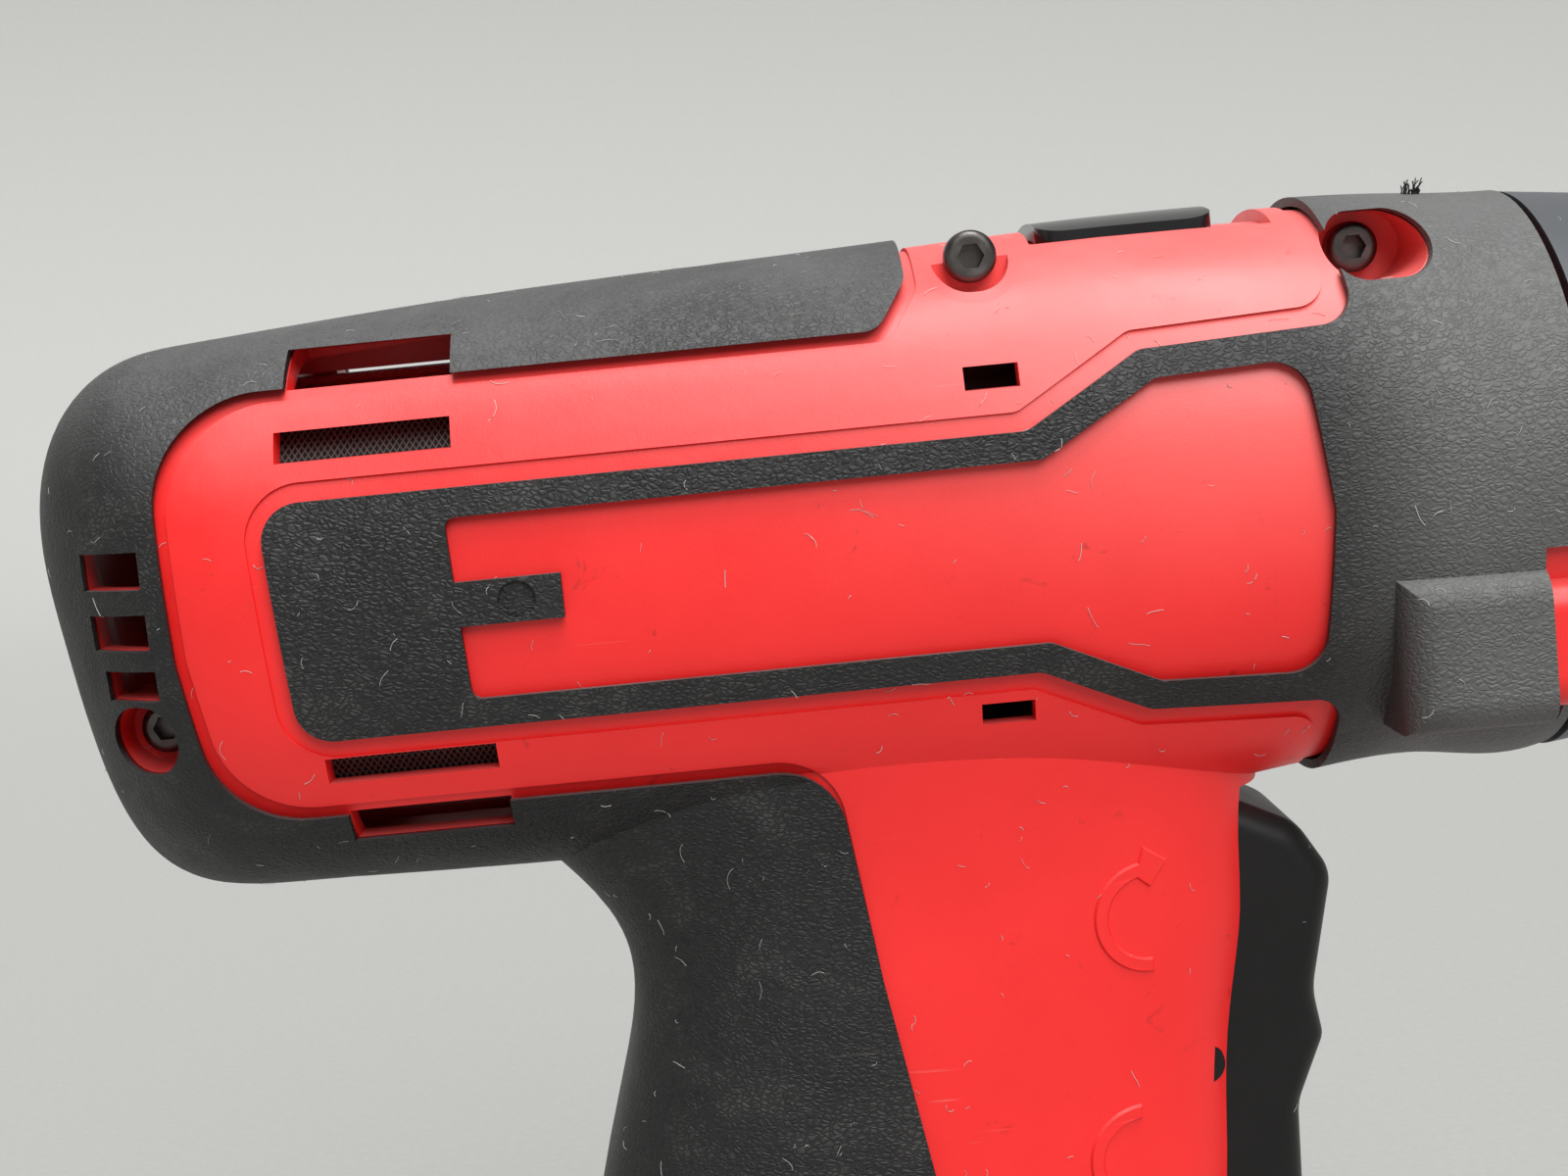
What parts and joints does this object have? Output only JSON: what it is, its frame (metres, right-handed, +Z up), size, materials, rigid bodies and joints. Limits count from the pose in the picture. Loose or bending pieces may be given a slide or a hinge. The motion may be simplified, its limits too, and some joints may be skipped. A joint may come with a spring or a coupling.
{
  "type": "cordless drill",
  "caption": "Pistol-grip cordless driver with quarter-inch hex chuck, clutch collar, speed slider, rocker trigger and slide-on battery, for driving screws and light drilling",
  "frame": {"origin": "centre of the battery's flat foot, on the surface that the tool stands on", "axes": "+X forward along the spindle, out of the bit socket; +Y towards the tool's left side; +Z up"},
  "size_m": [0.1914, 0.0584, 0.1874],
  "materials": {
    "red_shell": "satin red moulded plastic with fine scuffs",
    "black_rubber": "leather-textured black elastomer, dusty",
    "black_plastic": "fine-grained black plastic",
    "gloss_black": "polished black plastic",
    "collar_grey": "smooth dark grey plastic",
    "white_nylon": "unfilled nylon",
    "screw_steel": "dark zinc-plated steel",
    "can_steel": "bright zinc-plated steel",
    "gear_steel": "sintered and oiled steel",
    "spindle_steel": "ground steel",
    "core_steel": "laminated steel",
    "magnet": "ferrite",
    "copper": null,
    "brush_carbon": "pressed carbon",
    "case_alloy": "die-cast alloy",
    "bush_bronze": "sintered bronze",
    "spring_steel": "spring steel",
    "screen_mesh": "fine woven screen",
    "lens_clear": "clear moulded lens",
    "lead_sleeve": "insulated wire",
    "contact_brass": "tin-plated contact strip",
    "cell_can": "sleeved round cell; aluminium stands in for its mean density",
    "pack_black": "textured black plastic",
    "latch_red": "satin red plastic"
  },
  "bodies": {
    "housing": {"housing_right": "red_shell", "housing_left": "red_shell", "overmould_rear_right": "black_rubber", "overmould_rear_left": "black_rubber", "overmould_front_right": "black_rubber", "overmould_front_left": "black_rubber", "housing_screws": "screw_steel", "vent_screens": "screen_mesh", "motor_can": "can_steel", "motor_end_cap": "black_plastic", "motor_magnets": "magnet", "motor_brushes": "brush_carbon", "gearbox_case_rear": "case_alloy", "gearbox_case_front": "case_alloy", "ring_gear_first": "gear_steel", "ring_gear_third": "gear_steel", "clutch_balls": "spindle_steel", "clutch_washer": "spindle_steel", "clutch_spring": "spring_steel", "spindle_bushes": "bush_bronze", "switch_module": "black_plastic", "motor_leads": "lead_sleeve", "terminal_block": "black_plastic", "lamp_lenses": "lens_clear"},
    "rotor": {"armature_core": "core_steel", "armature_windings": "copper", "commutator": "copper", "motor_shaft": "spindle_steel", "motor_fan": "white_nylon", "motor_pinion": "gear_steel"},
    "carrier_first": {"carrier_first": "gear_steel"},
    "carrier_second": {"carrier_second": "gear_steel"},
    "spindle": {"output_spindle": "spindle_steel", "chuck_balls": "spindle_steel", "chuck_snap_ring": "spring_steel", "sleeve_spring": "spring_steel"},
    "chuck_sleeve": {"chuck_sleeve": "spindle_steel"},
    "clutch_collar": {"clutch_collar": "collar_grey"},
    "clutch_nut": {"clutch_nut": "white_nylon"},
    "speed_selector": {"speed_button": "gloss_black", "shift_yoke": "spring_steel", "ring_gear_second": "gear_steel"},
    "trigger": {"trigger": "black_plastic"},
    "plunger_forward": {"plunger_forward": "white_nylon"},
    "plunger_reverse": {"plunger_reverse": "white_nylon"},
    "battery": {"battery_case": "pack_black", "battery_base_cover": "pack_black", "battery_cells": "cell_can", "battery_contacts": "contact_brass"},
    "latch_right": {"battery_latch_right": "latch_red"},
    "latch_left": {"battery_latch_left": "latch_red"},
    "planet_first_1": {"planet_first_1": "gear_steel"},
    "planet_first_2": {"planet_first_2": "gear_steel"},
    "planet_first_3": {"planet_first_3": "gear_steel"},
    "planet_second_1": {"planet_second_1": "gear_steel"},
    "planet_second_2": {"planet_second_2": "gear_steel"},
    "planet_second_3": {"planet_second_3": "gear_steel"},
    "planet_third_1": {"planet_third_1": "gear_steel"},
    "planet_third_2": {"planet_third_2": "gear_steel"},
    "planet_third_3": {"planet_third_3": "gear_steel"}
  },
  "joints": [
    {"name": "rotor_spin", "type": "hinge", "parent": "housing", "child": "rotor", "pos_m": [0, 0, 0.158], "axis": [1, 0, 0], "continuous": true},
    {"name": "carrier_first_spin", "type": "hinge", "parent": "housing", "child": "carrier_first", "pos_m": [0, 0, 0.158], "axis": [1, 0, 0], "continuous": true},
    {"name": "carrier_second_spin", "type": "hinge", "parent": "housing", "child": "carrier_second", "pos_m": [0, 0, 0.158], "axis": [1, 0, 0], "continuous": true},
    {"name": "spindle_spin", "type": "hinge", "parent": "housing", "child": "spindle", "pos_m": [0, 0, 0.158], "axis": [1, 0, 0], "continuous": true},
    {"name": "planet_first_1_spin", "type": "hinge", "parent": "carrier_first", "child": "planet_first_1", "pos_m": [0, 0, 0.1679], "axis": [1, 0, 0], "continuous": true},
    {"name": "planet_first_2_spin", "type": "hinge", "parent": "carrier_first", "child": "planet_first_2", "pos_m": [0, -0.00857, 0.15305], "axis": [1, 0, 0], "continuous": true},
    {"name": "planet_first_3_spin", "type": "hinge", "parent": "carrier_first", "child": "planet_first_3", "pos_m": [0, 0.00857, 0.15305], "axis": [1, 0, 0], "continuous": true},
    {"name": "planet_second_1_spin", "type": "hinge", "parent": "carrier_second", "child": "planet_second_1", "pos_m": [0, 0, 0.1679], "axis": [1, 0, 0], "continuous": true},
    {"name": "planet_second_2_spin", "type": "hinge", "parent": "carrier_second", "child": "planet_second_2", "pos_m": [0, -0.00857, 0.15305], "axis": [1, 0, 0], "continuous": true},
    {"name": "planet_second_3_spin", "type": "hinge", "parent": "carrier_second", "child": "planet_second_3", "pos_m": [0, 0.00857, 0.15305], "axis": [1, 0, 0], "continuous": true},
    {"name": "planet_third_1_spin", "type": "hinge", "parent": "spindle", "child": "planet_third_1", "pos_m": [0, 0, 0.1679], "axis": [1, 0, 0], "continuous": true},
    {"name": "planet_third_2_spin", "type": "hinge", "parent": "spindle", "child": "planet_third_2", "pos_m": [0, -0.00857, 0.15305], "axis": [1, 0, 0], "continuous": true},
    {"name": "planet_third_3_spin", "type": "hinge", "parent": "spindle", "child": "planet_third_3", "pos_m": [0, 0.00857, 0.15305], "axis": [1, 0, 0], "continuous": true},
    {"name": "chuck_sleeve_pull", "type": "slide", "parent": "spindle", "child": "chuck_sleeve", "axis": [1, 0, 0], "range_m": [0, 0.005], "stiffness_N_per_m": 500, "springref_m": -0.004, "deforming": ["sleeve_spring"]},
    {"name": "clutch_collar_turn", "type": "hinge", "parent": "housing", "child": "clutch_collar", "pos_m": [0.085, 0, 0.158], "axis": [1, 0, 0], "range_deg": [0, 300]},
    {"name": "clutch_nut_travel", "type": "slide", "parent": "clutch_collar", "child": "clutch_nut", "axis": [1, 0, 0], "range_m": [-0.0031, 0], "deforming": ["clutch_spring"]},
    {"name": "speed_select", "type": "slide", "parent": "housing", "child": "speed_selector", "axis": [1, 0, 0], "range_m": [0, 0.0045]},
    {"name": "trigger_rock", "type": "hinge", "parent": "housing", "child": "trigger", "pos_m": [0.037, 0, 0.103], "axis": [0, 1, 0], "range_deg": [-6.5, 6.5], "stiffness_Nm_per_rad": 0.8},
    {"name": "plunger_forward_travel", "type": "slide", "parent": "housing", "child": "plunger_forward", "axis": [1, 0, 0], "range_m": [-0.002, 0.002]},
    {"name": "plunger_reverse_travel", "type": "slide", "parent": "housing", "child": "plunger_reverse", "axis": [1, 0, 0], "range_m": [-0.002, 0.002]},
    {"name": "battery_release", "type": "slide", "parent": "housing", "child": "battery", "axis": [-0.2419, 0, -0.9703], "range_m": [0, 0.085]},
    {"name": "latch_right_press", "type": "slide", "parent": "battery", "child": "latch_right", "axis": [0, 1, 0], "range_m": [0, 0.0022], "stiffness_N_per_m": 600, "springref_m": -0.002},
    {"name": "latch_left_press", "type": "slide", "parent": "battery", "child": "latch_left", "axis": [0, -1, 0], "range_m": [0, 0.0022], "stiffness_N_per_m": 600, "springref_m": -0.002}
  ],
  "couplings": [
    {"joint": "carrier_first_spin", "follows": "rotor_spin", "ratio": 0.27273},
    {"joint": "carrier_second_spin", "follows": "rotor_spin", "ratio": 0.07438},
    {"joint": "spindle_spin", "follows": "rotor_spin", "ratio": 0.020286},
    {"joint": "planet_first_1_spin", "follows": "rotor_spin", "ratio": -0.87273},
    {"joint": "planet_first_2_spin", "follows": "rotor_spin", "ratio": -0.87273},
    {"joint": "planet_first_3_spin", "follows": "rotor_spin", "ratio": -0.87273},
    {"joint": "planet_second_1_spin", "follows": "rotor_spin", "ratio": -0.23802},
    {"joint": "planet_second_2_spin", "follows": "rotor_spin", "ratio": -0.23802},
    {"joint": "planet_second_3_spin", "follows": "rotor_spin", "ratio": -0.23802},
    {"joint": "planet_third_1_spin", "follows": "rotor_spin", "ratio": -0.064914},
    {"joint": "planet_third_2_spin", "follows": "rotor_spin", "ratio": -0.064914},
    {"joint": "planet_third_3_spin", "follows": "rotor_spin", "ratio": -0.064914},
    {"joint": "clutch_nut_travel", "follows": "clutch_collar_turn", "m_per_rad": -0.000573},
    {"joint": "plunger_forward_travel", "follows": "trigger_rock", "m_per_rad": 0.017},
    {"joint": "plunger_reverse_travel", "follows": "trigger_rock", "m_per_rad": -0.017}
  ]
}
